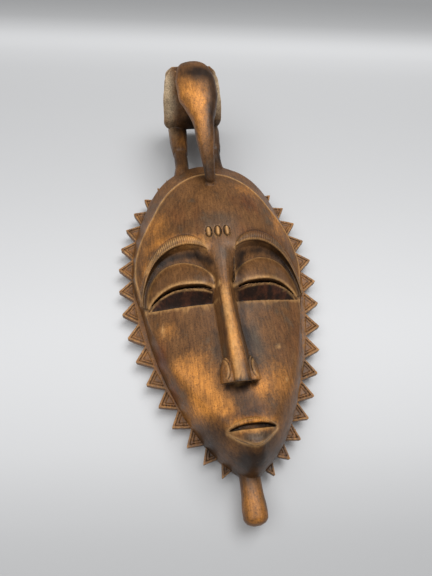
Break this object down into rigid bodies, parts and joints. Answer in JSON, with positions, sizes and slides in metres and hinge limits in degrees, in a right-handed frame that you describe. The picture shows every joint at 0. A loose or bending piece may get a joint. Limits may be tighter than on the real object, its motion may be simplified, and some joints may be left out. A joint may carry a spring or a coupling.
{
  "type": "carved wooden face mask",
  "caption": "Yaure style face mask of carved wood with a toothed border, slit eyes, long nose, beard peg and a long-beaked bird on the crown; hollow behind",
  "frame": {"origin": "the middle of the outline, on the plane of the rear rim that the mask lies on", "axes": "X across the face, Y from the chin up to the bird, Z out of the face; the mask lies on its back"},
  "size_m": [0.1706, 0.3826, 0.0918],
  "materials": {
    "carved_wood": "brown stained and waxed wood, worn to a golden tan on the high edges"
  },
  "bodies": {
    "root": {"mask": "carved_wood"}
  },
  "joints": []
}
